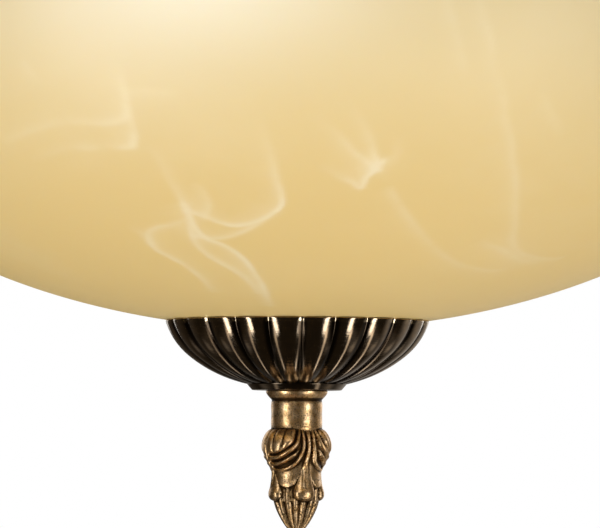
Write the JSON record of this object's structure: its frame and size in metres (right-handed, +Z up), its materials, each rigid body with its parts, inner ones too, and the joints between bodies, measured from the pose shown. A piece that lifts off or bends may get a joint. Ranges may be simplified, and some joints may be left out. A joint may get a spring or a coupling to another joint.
{
  "type": "bowl chandelier",
  "caption": "Hanging bowl chandelier: marbled amber glass bowl on a central rod, fluted bronze cup and cast leaf finial below, chain and fluted ceiling canopy above.",
  "frame": {"origin": "on the ceiling plane, midway between the two slots of the ceiling bracket, straight above the bowl", "axes": "+Z up into the ceiling, -Y to the front, X along the bracket's slots"},
  "size_m": [0.3999, 0.4, 0.5038],
  "materials": {
    "amber_glass": "satin amber glass with pale marbled veins",
    "dark_bronze": "polished very dark bronze",
    "antique_brass": "antique brass with brown patina in the hollows",
    "bright_brass": "bare brass",
    "zinc_steel": "zinc plated",
    "black_rubber": "soft matt rubber",
    "porcelain": "glazed white porcelain",
    "terminal_plastic": "moulded off-white plastic",
    "bulb_metal": "rolled thin metal",
    "bulb_glass": "opal white glass"
  },
  "bodies": {
    "ceiling": {"ceiling_bracket": "zinc_steel", "canopy": "dark_bronze", "canopy_nipple": "zinc_steel", "canopy_nuts": "zinc_steel", "canopy_loop": "antique_brass", "canopy_bush": "black_rubber", "terminal_block": "terminal_plastic", "terminal_screws": "bright_brass"},
    "link_1": {"chain_link_1": "antique_brass"},
    "link_2": {"chain_link_2": "antique_brass"},
    "link_3": {"chain_link_3": "antique_brass"},
    "stem": {"stem_loop": "antique_brass", "stem_bush": "black_rubber", "threaded_rod": "zinc_steel", "stem_cap": "dark_bronze", "upper_sleeve": "antique_brass", "column_vase": "antique_brass", "lower_sleeve": "antique_brass", "hub_cap": "dark_bronze", "lamp_hub": "antique_brass", "hub_cover": "zinc_steel", "hub_nut": "zinc_steel", "glass_stop_nut": "zinc_steel", "glass_washer": "zinc_steel", "upper_gasket": "black_rubber", "arm_tube_1": "antique_brass", "holder_cap_1": "antique_brass", "holder_body_1": "porcelain", "holder_contact_1": "bright_brass", "arm_tube_2": "antique_brass", "holder_cap_2": "antique_brass", "holder_body_2": "porcelain", "holder_contact_2": "bright_brass", "arm_tube_3": "antique_brass", "holder_cap_3": "antique_brass", "holder_body_3": "porcelain", "holder_contact_3": "bright_brass"},
    "bulb_1": {"bulb_cap_1": "bulb_metal", "bulb_globe_1": "bulb_glass"},
    "bulb_2": {"bulb_cap_2": "bulb_metal", "bulb_globe_2": "bulb_glass"},
    "bulb_3": {"bulb_cap_3": "bulb_metal", "bulb_globe_3": "bulb_glass"},
    "shade": {"glass_bowl": "amber_glass", "fluted_cup": "dark_bronze"},
    "finial": {"finial": "antique_brass"}
  },
  "joints": [
    {"name": "link_1_swing", "type": "hinge", "parent": "ceiling", "child": "link_1", "pos_m": [0, 0, -0.069], "axis": [1, 0, 0], "range_deg": [-20, 20]},
    {"name": "link_2_swing", "type": "hinge", "parent": "link_1", "child": "link_2", "pos_m": [0, 0, -0.10045], "axis": [0, 1, 0], "range_deg": [-20, 20]},
    {"name": "link_3_swing", "type": "hinge", "parent": "link_2", "child": "link_3", "pos_m": [0, 0, -0.13215], "axis": [1, 0, 0], "range_deg": [-20, 20]},
    {"name": "stem_swing", "type": "hinge", "parent": "link_3", "child": "stem", "pos_m": [0, 0, -0.16385], "axis": [0, 1, 0], "range_deg": [-20, 20]},
    {"name": "bulb_1_out", "type": "slide", "parent": "stem", "child": "bulb_1", "axis": [-0.4082, -0.8754, 0.2588], "range_m": [0, 0.026]},
    {"name": "bulb_2_out", "type": "slide", "parent": "stem", "child": "bulb_2", "axis": [0.9623, 0.0842, 0.2588], "range_m": [0, 0.026]},
    {"name": "bulb_3_out", "type": "slide", "parent": "stem", "child": "bulb_3", "axis": [-0.554, 0.7912, 0.2588], "range_m": [0, 0.026]},
    {"name": "shade_lower", "type": "slide", "parent": "stem", "child": "shade", "axis": [0, 0, -1], "range_m": [0, 0.01]},
    {"name": "finial_turn", "type": "hinge", "parent": "shade", "child": "finial", "pos_m": [0, 0, -0.44868], "axis": [0, 0, -1], "range_deg": [0, 3640]}
  ],
  "couplings": [
    {"joint": "finial_turn", "follows": "shade_lower", "rad_per_m": 6283.2}
  ]
}
